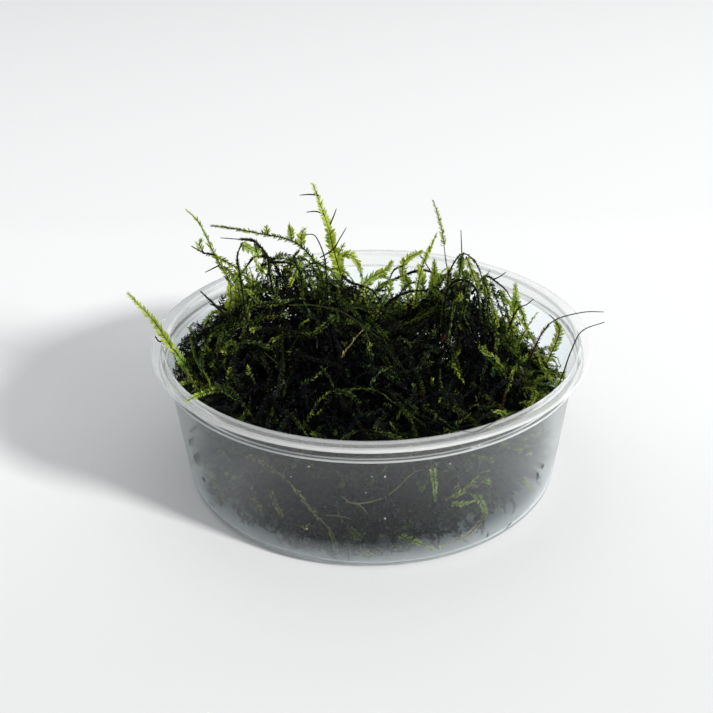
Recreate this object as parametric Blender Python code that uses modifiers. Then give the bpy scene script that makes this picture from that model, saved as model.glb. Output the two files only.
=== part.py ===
"""A clump of java moss in its shallow clear tub: blender --background --python part.py

Metres, +Z up. The origin is the centre of the tub's flat underside, +X is to the right of someone
looking at the front and +Y points away from them. The tub is one turned piece, the tangled mass of the moss
is one soft solid that fills it, and each shoot or bare stem that stands clear of the tangle is a piece of
its own. A shoot's solid begins where its route leaves the tangle.
"""

import math

import bmesh
import bpy
from mathutils import Vector

MM = 0.001

# The tub, in millimetres
HEIGHT = 40.0
WALL = 0.8
FLOOR = 0.9  # thickness of the floor
LIP_R = 54.9  # inside of the lip and of the neck under it
RIM_R = 58.5  # outer edge of the flange that a lid snaps over
BEAD = 0.5  # radius of the flange's rounded edge
BEAD_DROP = 0.9  # how far the bead's centre lies below the lip's top
NECK_STEP = 0.1  # how far the neck stands out from a plain wall's thickness
SHOULDER_TOP = 35.4  # the stacking shoulder, between the neck and the tapered wall
SHOULDER_BOTTOM = 33.4
SHOULDER_ROUND = 0.5
WALL_TOP_R = 53.75  # inside of the wall at the shoulder
WALL_FOOT_R = 50.75  # inside of the wall above the corner
WALL_FOOT_Z = 3.2
TUB_STEPS = 60

# The tangled mass of moss
WALL_GAP = 0.6
FLOOR_GAP = 0.35
EDGE_INSET = 0.5  # the top's edge stays this much further in than the wall gap
EDGE_MEAN, EDGE_TO_LEFT, EDGE_TO_FRONT = 30.0, 4.0, 3.0  # height of that edge, and its rise to two sides
TANGLE_SEGMENTS, TANGLE_RINGS = 48, 26
HILLS = (  # centre x, centre y, half-width in x, half-width in y, height above the edge plane
    (-28, 6, 18, 22, 25),
    (26, 5, 14, 20, 25),
    (-5, 4, 16, 24, 12),
    (-8, -24, 26, 16, 5),
)
LUMP = 0.9  # height of the small lumps all over it
FOOT_ROUNDING = 0.4  # 1 would make its lower half an ellipse, and 0 a square corner

# Shoots: half the thickness at the foot and at the tip, in millimetres
LEAFY = (1.0, 0.5)
STOUT = (1.5, 0.5)
BARE = (0.45, 0.3)
ROUTE_STEP = 2.5  # spacing of a solid's rings along its route
FINE_STEPS = 200  # points tried along a route to find where it leaves the tangle
CLEARANCE = 0.45  # between a shoot's solid and the tangle

# name: (half-thicknesses, route from the foot in the tangle to the tip, in millimetres)
SHOOTS = {
    "tall_shoot": (STOUT, [(-7, 14, 42), (-8, 13, 50), (-10, 11, 59.5), (-11, 9, 66), (-14.5, 6, 79)]),
    "drooping_shoot": (
        LEAFY,
        [(-11, 19, 42), (-10, 18, 49), (-8.5, 17, 53.5), (-5.5, 16.5, 55), (-3, 15.5, 52), (-2, 15, 47)],
    ),
    "left_high_shoot": (
        LEAFY,
        [(-36, 5.5, 46), (-38, 5, 53), (-41, 4, 60.5), (-43.5, 1, 70), (-46.5, 0, 74.5)],
    ),
    "left_runner": (
        BARE,
        [(-12, 4, 50), (-14.5, 4, 58), (-20, 4, 64), (-29.5, 4, 66.5), (-36.5, 4, 68), (-41.5, 4.5, 68.5)],
    ),
    "left_arch": (
        BARE,
        [(-25, -3, 50), (-26, -3, 58), (-26.5, -3, 63), (-29.5, -3, 67), (-33, -3, 67.5), (-38, -3, 68)],
    ),
    "left_inner_shoot": (
        LEAFY,
        [(-32, -9, 44), (-32.5, -9, 54), (-33, -9.5, 62), (-33, -10, 66), (-31.5, -10, 69.5)],
    ),
    "left_stub_upper": (LEAFY, [(-36, -4, 42), (-39, -5, 48), (-44, -5, 54)]),
    "left_stub_lower": (LEAFY, [(-34, 1, 42), (-38, 0, 46), (-42.5, -1, 48.5)]),
    "rim_shoot_left": (
        LEAFY,
        [(-43, -17, 31), (-47, -15, 36.5), (-52, -13, 43), (-56, -11, 49), (-62, -9, 55.5)],
    ),
    "front_left_sprig": (LEAFY, [(-34, -26, 35), (-37, -31, 39.5), (-40, -38, 42.5), (-42.5, -44, 44)]),
    "left_upright_tip": (LEAFY, [(-18, -2, 50), (-18, -2, 57), (-19.5, -3, 62), (-18, -3, 64.5)]),
    "thread_by_tall_shoot": (
        BARE,
        [(-11, 0, 44), (-11.5, 0, 57), (-12, 0, 62), (-14, 0, 67), (-16.5, 0, 67.5)],
    ),
    "middle_rise": (LEAFY, [(-5, 8, 42), (-2, 8, 49.5), (1.5, 8, 52.5), (4.5, 8, 54), (6, 8, 56.5)]),
    "middle_arch": (LEAFY, [(11, 12, 40), (9.5, 12, 48), (9, 12, 53.5), (11, 12, 56), (14.5, 12, 57.5)]),
    "middle_twig": (BARE, [(19, 14, 42), (18, 14, 48), (15, 15, 53.5), (12.5, 16, 56.5)]),
    "slender_shoot": (LEAFY, [(12, 4, 44), (13, 4, 52.5), (14.5, 4, 58.5), (16, 4, 62), (17.5, 4, 66)]),
    "tall_right_shoot": (LEAFY, [(23, 9, 42), (22, 8, 49), (20.5, 8, 56), (19, 7, 66), (16.5, 5, 74.5)]),
    "crown_arch": (
        LEAFY,
        [(20, 1, 46), (20.5, 1, 52.5), (21, 1, 56.5), (24, 0.5, 61.5), (27.5, -1, 59.5), (29.5, -2, 54.5),
         (30.5, -2, 50)],
    ),
    "crown_twig": (BARE, [(26, 8, 47), (25, 8, 53.5), (24.5, 7, 60), (24, 6, 66)]),
    "dark_arch": (
        LEAFY,
        [(19, -5, 44), (19.5, -6, 52), (21, -7, 56.5), (24, -8.5, 58), (27, -9, 55.5), (28, -9, 51)],
    ),
    "shoulder_arch": (LEAFY, [(28, 11, 45), (31.5, 12, 50), (35, 14, 47.5), (38, 15, 44.5), (40, 16, 41)]),
    "right_sprig": (LEAFY, [(39, 8, 33), (39.5, 8, 41), (40, 8, 44.5), (39.5, 8, 49.5)]),
    "right_twig": (BARE, [(37, 1, 38), (39, -0.5, 45.5), (41.5, -1, 47.5), (43, -2, 49.5)]),
    "right_small_sprig": (LEAFY, [(40, 2, 31), (41, 2, 35.5), (42.5, 1, 40), (44.5, 0, 44.5)]),
    "right_arch": (LEAFY, [(48, 3, 25), (50, 3, 31), (51.5, 3, 36), (51, 3, 39.5), (48.5, 3, 42.5)]),
    "right_stem_upper": (
        BARE,
        [(41, -2, 26), (43.5, -2, 32.5), (46, -2, 39.5), (49.5, -2, 43.5), (56.5, -2, 45.5), (61.5, -3, 46)],
    ),
    "right_stem_lower": (
        BARE,
        [(48, -12, 25), (50, -12, 31), (52, -12, 39.5), (54.5, -11, 44.5), (60.5, -9, 46)],
    ),
    "front_right_twig": (
        BARE,
        [(33, -33, 27), (32, -36, 34.5), (29, -41, 39), (26, -47, 41.5), (23, -51.5, 42), (19.5, -53, 42)],
    ),
    "back_shoot": (LEAFY, [(-8, 29, 32), (-9, 31, 40), (-11, 34, 46)]),
    "back_left_sprig": (LEAFY, [(-26, 27, 36), (-29, 31, 43), (-33, 33, 46)]),
    "back_right_sprig": (LEAFY, [(17, 26, 34), (20, 29, 42), (23, 31, 45)]),
}


def clear_scene():
    for obj in list(bpy.data.objects):
        bpy.data.objects.remove(obj)


def new_collection(name):
    collection = bpy.data.collections.new(name)
    bpy.context.scene.collection.children.link(collection)
    return collection


def material(name, colour, roughness, alpha=1.0):
    made = bpy.data.materials.new(name)
    made.use_nodes = True
    shader = made.node_tree.nodes["Principled BSDF"]
    shader.inputs["Base Color"].default_value = (*colour, 1.0)
    shader.inputs["Roughness"].default_value = roughness
    shader.inputs["Metallic"].default_value = 0.0
    shader.inputs["Alpha"].default_value = alpha
    return made


def linked(name, data, collection, finish):
    obj = bpy.data.objects.new(name, data)
    obj.data.materials.append(finish)
    collection.objects.link(obj)
    return obj


def arc(centre, radius, start, end, steps):
    """Points (r, z) of an arc, with its angles in degrees from +r towards +z."""
    angles = (math.radians(start + (end - start) * i / steps) for i in range(steps + 1))
    return [(centre[0] + radius * math.cos(a), centre[1] + radius * math.sin(a)) for a in angles]


def inside_radius(z):
    """The tapered wall's inner radius at height z."""
    share = (z - WALL_FOOT_Z) / (SHOULDER_BOTTOM - WALL_FOOT_Z)
    return WALL_FOOT_R + (WALL_TOP_R - WALL_FOOT_R) * min(1.0, max(0.0, share))


def tub_profile():
    """From the middle of the floor, up inside, over the lip and flange, and down outside to the underside."""
    corner = WALL_FOOT_Z - FLOOR
    foot_round = corner + WALL
    lip_half = WALL / 2
    neck_r = LIP_R + WALL + NECK_STEP
    bead = (RIM_R - BEAD, HEIGHT - BEAD_DROP)
    floor = [(0, FLOOR)] + arc((WALL_FOOT_R - corner, WALL_FOOT_Z), corner, -90, 0, 4)
    inner = [(WALL_TOP_R, SHOULDER_BOTTOM), (LIP_R, SHOULDER_TOP - BEAD)]
    lip = arc((LIP_R + lip_half, HEIGHT - lip_half), lip_half, 180, 60, 4)
    flange = arc(bead, BEAD, 75, -90, 5)
    neck = [(neck_r + lip_half, bead[1] - BEAD), (neck_r, bead[1] - WALL), (neck_r, SHOULDER_TOP)]
    ring = arc((LIP_R + WALL, SHOULDER_TOP - SHOULDER_ROUND), SHOULDER_ROUND, 40, -70, 3)
    outer = [(WALL_TOP_R + WALL, SHOULDER_BOTTOM)]
    foot = arc((WALL_FOOT_R + WALL - foot_round, foot_round), foot_round, 0, -90, 5)
    return floor + inner + lip + flange + neck + ring + outer + foot + [(0, 0)]


def make_tub(collection):
    profile = tub_profile()
    mesh = bpy.data.meshes.new("tub_profile")
    edges = [(i, i + 1) for i in range(len(profile) - 1)]
    mesh.from_pydata([(r * MM, 0, z * MM) for r, z in profile], edges, [])
    tub = linked("tub", mesh, collection, material("clear_polypropylene", (0.86, 0.88, 0.88), 0.2, 0.35))
    turn = tub.modifiers.new("turn", "SCREW")
    turn.steps = turn.render_steps = TUB_STEPS
    turn.use_merge_vertices = True
    turn.merge_threshold = 0.00005
    turn.use_smooth_shade = True
    return tub


def lump(x, y):
    """Small lumps and dips, about 20 mm apart."""
    return math.sin(0.29 * x + 0.8) * math.cos(0.33 * y - 0.5) + 0.6 * math.sin(0.51 * y + 0.37 * x)


def hill(x, y, centre_x, centre_y, width_x, width_y, height):
    return height * math.exp(-(((x - centre_x) / width_x) ** 2) - ((y - centre_y) / width_y) ** 2)


def top_height(x, y):
    """Height of the tangle's upper surface above the point (x, y), in millimetres."""
    out = min(1.0, math.hypot(x, y) / WALL_TOP_R)
    edge = EDGE_MEAN - out * (EDGE_TO_LEFT * x + EDGE_TO_FRONT * y) / WALL_TOP_R
    hills = sum(hill(x, y, *sizes) for sizes in HILLS)
    return edge + (1 - out**4) * (hills + LUMP * lump(x, y))


def tangle_point(x, y, z):
    """Where a point of the unit sphere goes on the tangle: its upper half is the lumpy top, its lower half
    the side and the bottom, which meet in a rounded edge."""
    around = math.atan2(y, x)
    across, away = math.cos(around), math.sin(around)
    rim = WALL_TOP_R - WALL_GAP - EDGE_INSET
    up = math.asin(max(-1.0, min(1.0, z)))
    if up >= 0:
        reach = rim * (1 - up / (math.pi / 2))
        return reach * across, reach * away, top_height(reach * across, reach * away)
    low = FLOOR + FLOOR_GAP
    edge = top_height(rim * across, rim * away)
    height = low + (edge - low) * (1 - math.sin(-up) ** FOOT_ROUNDING)
    reach = min(rim, inside_radius(height) - WALL_GAP) * math.cos(up) ** FOOT_ROUNDING
    return reach * across, reach * away, height


def make_tangle(collection):
    shape = bmesh.new()
    bmesh.ops.create_uvsphere(shape, u_segments=TANGLE_SEGMENTS, v_segments=TANGLE_RINGS, radius=1)
    for vertex in shape.verts:
        vertex.co = Vector(tangle_point(*vertex.co)) * MM
    mesh = bpy.data.meshes.new("moss_tangle")
    shape.to_mesh(mesh)
    shape.free()
    mesh.shade_smooth()
    return linked("moss_tangle", mesh, collection, material("dark_moss", (0.03, 0.06, 0.015), 0.8))


def spline_point(route, share):
    """A point on the smooth curve through the route's points: share is 0 at the foot and 1 at the tip."""
    spans = len(route) - 1
    i = min(int(share * spans), spans - 1)
    t = share * spans - i
    p1, p2 = Vector(route[i]), Vector(route[i + 1])
    p0 = Vector(route[i - 1]) if i else 2 * p1 - p2
    p3 = Vector(route[i + 2]) if i + 2 < len(route) else 2 * p2 - p1
    straight = 2 * p1 + (p2 - p0) * t
    bent = (2 * p0 - 5 * p1 + 4 * p2 - p3) * t**2 + (3 * p1 - p0 - 3 * p2 + p3) * t**3
    return (straight + bent) / 2


def is_clear(point, radius):
    """True if a ball of that radius at point clears the tangle, its nearby lumps and its slopes."""
    reach = radius + CLEARANCE
    sides = [(reach * math.cos(k * math.pi / 3), reach * math.sin(k * math.pi / 3)) for k in range(6)]
    return all(point.z - reach > top_height(point.x + dx, point.y + dy) for dx, dy in [(0, 0), *sides])


def emerging(route, radii):
    """Points and radii along the route from where it last leaves the tangle, evenly spaced."""
    foot, tip = radii
    shares = [i / FINE_STEPS for i in range(FINE_STEPS + 1)]
    fine = [(spline_point(route, share), foot + (tip - foot) * share) for share in shares]
    start = 1 + max((i for i, (point, radius) in enumerate(fine) if not is_clear(point, radius)), default=-1)
    kept = fine[start:]
    length = sum((b[0] - a[0]).length for a, b in zip(kept, kept[1:]))
    rings = max(3, round(length / ROUTE_STEP))
    return [kept[round(i * (len(kept) - 1) / rings)] for i in range(rings + 1)]


def make_shoot(name, radii, route, collection, finish):
    curve = bpy.data.curves.new(name, "CURVE")
    curve.dimensions = "3D"
    curve.bevel_depth = MM
    curve.bevel_resolution = 1
    curve.use_fill_caps = True
    stretch = emerging(route, radii)
    spline = curve.splines.new("POLY")
    spline.points.add(len(stretch) - 1)
    for point, (place, radius) in zip(spline.points, stretch):
        point.co = (*(place * MM), 1.0)
        point.radius = radius
    return linked(name, curve, collection, finish)


def main():
    clear_scene()
    collection = new_collection("moss_clump")
    make_tub(collection)
    make_tangle(collection)
    green = material("green_moss", (0.16, 0.3, 0.04), 0.6)
    brown = material("bare_stem", (0.07, 0.05, 0.03), 0.7)
    for name, (radii, route) in SHOOTS.items():
        make_shoot(name, radii, route, collection, brown if radii is BARE else green)


main()
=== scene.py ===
"""Looks of the moss clump in its clear tub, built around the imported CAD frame.

The tangle and every shoot are real strands: a thin stem that carries small folded leaves, grown by one set of
functions. Sizes here are millimetres until a mesh is written, which is in metres, in the CAD's own frame.
"""

import math

import bpy
import numpy as np
from mathutils import Matrix, Vector
from mathutils.bvhtree import BVHTree


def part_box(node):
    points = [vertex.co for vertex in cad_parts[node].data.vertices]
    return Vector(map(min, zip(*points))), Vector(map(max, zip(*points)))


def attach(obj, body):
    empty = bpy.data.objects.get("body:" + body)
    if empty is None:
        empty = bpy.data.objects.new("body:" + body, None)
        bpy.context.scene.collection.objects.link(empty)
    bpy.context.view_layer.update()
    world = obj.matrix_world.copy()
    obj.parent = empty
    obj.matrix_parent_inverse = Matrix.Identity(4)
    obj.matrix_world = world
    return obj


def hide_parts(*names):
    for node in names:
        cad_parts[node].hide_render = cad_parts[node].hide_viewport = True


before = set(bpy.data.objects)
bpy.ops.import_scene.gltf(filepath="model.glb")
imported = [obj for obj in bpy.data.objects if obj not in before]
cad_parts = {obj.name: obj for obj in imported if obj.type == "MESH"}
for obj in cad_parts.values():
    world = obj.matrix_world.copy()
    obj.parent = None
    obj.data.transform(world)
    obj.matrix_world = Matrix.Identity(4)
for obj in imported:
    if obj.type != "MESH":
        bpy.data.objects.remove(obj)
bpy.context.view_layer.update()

MM = 0.001
SEED = 41

# ---------------------------------------------------------------- the tub's sizes, from the frame
TUB_LOW, TUB_HIGH = (np.array(corner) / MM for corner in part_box("tub"))
HEIGHT = TUB_HIGH[2]
RIM_R = TUB_HIGH[0]
WALL = 0.8
FLOOR = 0.9
LIP_R = RIM_R - 3.6  # the mouth's inner radius
BEAD = 0.5  # radius of the flange's rounded edge
BEAD_DROP = 0.9  # from the lip's top down to the middle of that edge
NECK_STEP = 0.1  # how far the neck under the flange stands out
SHOULDER_TOP = 35.4
SHOULDER_BOTTOM = 33.4
SHOULDER_ROUND = 0.5
WALL_TOP_R = RIM_R - 4.75
WALL_FOOT_R = RIM_R - 7.75
WALL_FOOT_Z = 3.2
TUB_TURNS = 192

# ---------------------------------------------------------------- shoots that stand clear of the tangle
# name: route from the foot in the tangle to the tip
ROUTES = {
    "tall_shoot": [(-7, 14, 42), (-8, 13, 50), (-10, 11, 59.5), (-11, 9, 66), (-14.5, 6, 79)],
    "drooping_shoot": [(-11, 19, 42), (-10, 18, 49), (-8.5, 17, 53.5), (-5.5, 16.5, 55), (-3, 15.5, 52),
                       (-2, 15, 47)],
    "left_high_shoot": [(-36, 5.5, 46), (-38, 5, 53), (-41, 4, 60.5), (-43.5, 1, 70), (-46.5, 0, 74.5)],
    "left_runner": [(-12, 4, 50), (-14.5, 4, 58), (-20, 4, 64), (-29.5, 4, 66.5), (-36.5, 4, 68),
                    (-41.5, 4.5, 68.5)],
    "left_arch": [(-25, -3, 50), (-26, -3, 58), (-26.5, -3, 63), (-29.5, -3, 67), (-33, -3, 67.5),
                  (-38, -3, 68)],
    "left_inner_shoot": [(-32, -9, 44), (-32.5, -9, 54), (-33, -9.5, 62), (-33, -10, 66), (-31.5, -10, 69.5)],
    "left_stub_upper": [(-36, -4, 42), (-39, -5, 48), (-44, -5, 54)],
    "left_stub_lower": [(-34, 1, 42), (-38, 0, 46), (-42.5, -1, 48.5)],
    "rim_shoot_left": [(-43, -17, 31), (-47, -15, 36.5), (-52, -13, 43), (-56, -11, 49), (-62, -9, 55.5)],
    "front_left_sprig": [(-34, -26, 35), (-37, -31, 39.5), (-40, -38, 42.5), (-42.5, -44, 44)],
    "left_upright_tip": [(-18, -2, 50), (-18, -2, 57), (-19.5, -3, 62), (-18, -3, 64.5)],
    "thread_by_tall_shoot": [(-11, 0, 44), (-11.5, 0, 57), (-12, 0, 62), (-14, 0, 67), (-16.5, 0, 67.5)],
    "middle_rise": [(-5, 8, 42), (-2, 8, 49.5), (1.5, 8, 52.5), (4.5, 8, 54), (6, 8, 56.5)],
    "middle_arch": [(11, 12, 40), (9.5, 12, 48), (9, 12, 53.5), (11, 12, 56), (14.5, 12, 57.5)],
    "middle_twig": [(19, 14, 42), (18, 14, 48), (15, 15, 53.5), (12.5, 16, 56.5)],
    "slender_shoot": [(12, 4, 44), (13, 4, 52.5), (14.5, 4, 58.5), (16, 4, 62), (17.5, 4, 66)],
    "tall_right_shoot": [(23, 9, 42), (22, 8, 49), (20.5, 8, 56), (19, 7, 66), (16.5, 5, 74.5)],
    "crown_arch": [(20, 1, 46), (20.5, 1, 52.5), (21, 1, 56.5), (24, 0.5, 61.5), (27.5, -1, 59.5),
                   (29.5, -2, 54.5), (30.5, -2, 50)],
    "crown_twig": [(26, 8, 47), (25, 8, 53.5), (24.5, 7, 60), (24, 6, 66)],
    "dark_arch": [(19, -5, 44), (19.5, -6, 52), (21, -7, 56.5), (24, -8.5, 58), (27, -9, 55.5), (28, -9, 51)],
    "shoulder_arch": [(28, 11, 45), (31.5, 12, 50), (35, 14, 47.5), (38, 15, 44.5), (40, 16, 41)],
    "right_sprig": [(39, 8, 33), (39.5, 8, 41), (40, 8, 44.5), (39.5, 8, 49.5)],
    "right_twig": [(37, 1, 38), (39, -0.5, 45.5), (41.5, -1, 47.5), (43, -2, 49.5)],
    "right_small_sprig": [(40, 2, 31), (41, 2, 35.5), (42.5, 1, 40), (44.5, 0, 44.5)],
    "right_arch": [(48, 3, 25), (50, 3, 31), (51.5, 3, 36), (51, 3, 39.5), (48.5, 3, 42.5)],
    "right_stem_upper": [(41, -2, 26), (43.5, -2, 32.5), (46, -2, 39.5), (49.5, -2, 43.5), (56.5, -2, 45.5),
                         (61.5, -3, 46)],
    "right_stem_lower": [(48, -12, 25), (50, -12, 31), (52, -12, 39.5), (54.5, -11, 44.5), (60.5, -9, 46)],
    "front_right_twig": [(33, -33, 27), (32, -36, 34.5), (29, -41, 39), (26, -47, 41.5), (23, -51.5, 42),
                         (19.5, -53, 42)],
    "back_shoot": [(-8, 29, 32), (-9, 31, 40), (-11, 34, 46)],
    "back_left_sprig": [(-26, 27, 36), (-29, 31, 43), (-33, 33, 46)],
    "back_right_sprig": [(17, 26, 34), (20, 29, 42), (23, 31, 45)],
}

# How a stretch of a shoot is clothed: leaf length, leaves per mm, leaf angle from the stem in degrees, the
# stem's radius, tone from 0, dead and black, to 1, fresh and yellow-green, and rust, how reddish it is
STYLES = {
    "plume": dict(leaf=2.2, per_mm=6.2, angle=54, stem=0.17, tone=0.9, rust=0),
    "feathered": dict(leaf=1.75, per_mm=5.2, angle=52, stem=0.15, tone=0.86, rust=0),
    "leafy": dict(leaf=1.4, per_mm=4.4, angle=48, stem=0.14, tone=0.76, rust=0),
    "slim": dict(leaf=1.4, per_mm=4.6, angle=46, stem=0.14, tone=0.82, rust=0),
    "runner": dict(leaf=1.25, per_mm=3.8, angle=54, stem=0.22, tone=0.64, rust=0.1),
    "pale": dict(leaf=1.1, per_mm=3.4, angle=45, stem=0.2, tone=1.0, rust=0.7),
    "pressed": dict(leaf=1.3, per_mm=4.8, angle=48, stem=0.16, tone=0.82, rust=0),
    "shaded": dict(leaf=1.2, per_mm=4.2, angle=46, stem=0.16, tone=0.43, rust=0),
    "dense": dict(leaf=1.5, per_mm=6.5, angle=42, stem=0.2, tone=0.62, rust=0),
    "dull": dict(leaf=1.15, per_mm=4.4, angle=44, stem=0.2, tone=0.34, rust=0),
    "wiry": dict(leaf=1.0, per_mm=4.6, angle=44, stem=0.36, tone=0.2, rust=0.1),
    "toothed": dict(leaf=0.85, per_mm=3.2, angle=45, stem=0.25, tone=0.36, rust=0.2),
    "rusty": dict(leaf=0.95, per_mm=3.4, angle=48, stem=0.22, tone=0.66, rust=0.85),
    "thread": dict(leaf=0.3, per_mm=0.3, angle=30, stem=0.13, tone=1.0, rust=0.25),
    "pale_thread": dict(leaf=0.4, per_mm=1.2, angle=35, stem=0.17, tone=1.6, rust=0.6),
    "bare": dict(leaf=0.5, per_mm=0.3, angle=40, stem=0.2, tone=0.06, rust=0.2),
    "chip": dict(leaf=0.9, per_mm=4.0, angle=35, stem=0.4, tone=0.02, rust=0.3),
    "speck": dict(leaf=0.45, per_mm=2.5, angle=45, stem=0.1, tone=0.1, rust=0.3),
}

# The styles along each shoot, as (share of its length where the style starts, style)
CLOTHING = {
    "tall_shoot": [(0, "shaded"), (0.22, "plume")],
    "drooping_shoot": [(0, "feathered")],
    "left_high_shoot": [(0, "leafy"), (0.3, "feathered")],
    "left_runner": [(0, "shaded"), (0.2, "runner")],
    "left_arch": [(0, "shaded"), (0.35, "wiry"), (0.8, "bare")],
    "left_inner_shoot": [(0, "shaded"), (0.45, "toothed")],
    "left_stub_upper": [(0, "wiry")],
    "left_stub_lower": [(0, "wiry")],
    "rim_shoot_left": [(0, "shaded"), (0.3, "feathered")],
    "front_left_sprig": [(0, "dull"), (0.35, "shaded"), (0.6, "leafy")],
    "left_upright_tip": [(0, "shaded"), (0.5, "dull")],
    "thread_by_tall_shoot": [(0, "shaded"), (0.4, "bare")],
    "middle_rise": [(0, "feathered")],
    "middle_arch": [(0, "feathered")],
    "middle_twig": [(0, "slim"), (0.4, "bare")],
    "slender_shoot": [(0, "leafy"), (0.3, "slim")],
    "tall_right_shoot": [(0, "shaded"), (0.38, "bare"), (0.62, "slim")],
    "crown_arch": [(0, "dull"), (0.2, "toothed"), (0.6, "dull")],
    "crown_twig": [(0, "shaded"), (0.55, "bare")],
    "dark_arch": [(0, "dull"), (0.4, "wiry")],
    "shoulder_arch": [(0, "wiry"), (0.4, "toothed")],
    "right_sprig": [(0, "feathered")],
    "right_twig": [(0, "toothed"), (0.4, "bare")],
    "right_small_sprig": [(0, "leafy")],
    "right_arch": [(0, "feathered"), (0.8, "bare")],
    "right_stem_upper": [(0, "rusty"), (0.5, "bare")],
    "right_stem_lower": [(0, "slim"), (0.3, "bare")],
    "front_right_twig": [(0, "slim"), (0.4, "bare")],
    "back_shoot": [(0, "leafy")],
    "back_left_sprig": [(0, "leafy")],
    "back_right_sprig": [(0, "slim")],
}

# Short side twigs: shoot, style, route
TWIGS = [
    ("tall_shoot", "bare", [(-13, 7, 75.5), (-15.5, 6.5, 76), (-18, 6, 76)]),
    ("tall_shoot", "bare", [(-12, 8, 70), (-14, 7.5, 71), (-16.5, 7, 71)]),
    ("tall_shoot", "bare", [(-10.5, 9.5, 66.5), (-9.5, 9, 69), (-8.7, 8.5, 71.3)]),
    ("tall_shoot", "bare", [(-13.5, 11, 56.5), (-10, 10.5, 59), (-8, 9.5, 62.5), (-6.2, 8.5, 66)]),
    ("tall_shoot", "slim", [(-8.7, 11, 57), (-7.8, 10.5, 59), (-6.8, 10, 61)]),
    ("left_high_shoot", "toothed", [(-40.5, 4, 60.5), (-43.5, 4, 61), (-47, 4, 63)]),
    ("left_high_shoot", "slim", [(-44, 4, 61.5), (-44.8, 4, 63.5), (-44, 4, 65)]),
    ("left_high_shoot", "bare", [(-40, 4, 57.5), (-42, 4, 56.5), (-44, 4, 55.5)]),
    ("left_high_shoot", "leafy", [(-40.5, 4, 60), (-37, 3.5, 58), (-34, 3, 56), (-31.5, 2, 52)]),
    ("left_high_shoot", "feathered", [(-39, 4.5, 57), (-36, 4, 54), (-34, 3, 51)]),
    ("left_runner", "leafy", [(-26.5, 4, 65.8), (-26.8, 4, 67), (-27, 4, 68.4)]),
    ("left_runner", "feathered", [(-20.5, 4, 64.2), (-20.6, 4, 66.5), (-20.8, 4, 69)]),
    ("left_runner", "feathered", [(-17.8, 4, 62.5), (-18, 4, 65), (-17, 4, 67.6)]),
    ("left_arch", "leafy", [(-29.5, -3, 66.5), (-29, -3, 64.5), (-28.6, -3, 62.5)]),
    ("left_arch", "feathered", [(-33, -3, 66.5), (-31, -3, 65), (-29, -3, 64)]),
    ("middle_arch", "toothed", [(9, 12, 53.5), (6.5, 12, 52), (5, 12, 48)]),
    ("crown_arch", "dense", [(24, 0.5, 61), (23.6, 0.3, 57.5), (23.2, 0, 53)]),
    ("crown_arch", "leafy", [(25, 0, 61), (27, -1, 56), (29, -1, 50)]),
    ("shoulder_arch", "bare", [(34, 13.5, 48.3), (36, 14, 49), (37.8, 14.5, 50.2)]),
]

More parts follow.
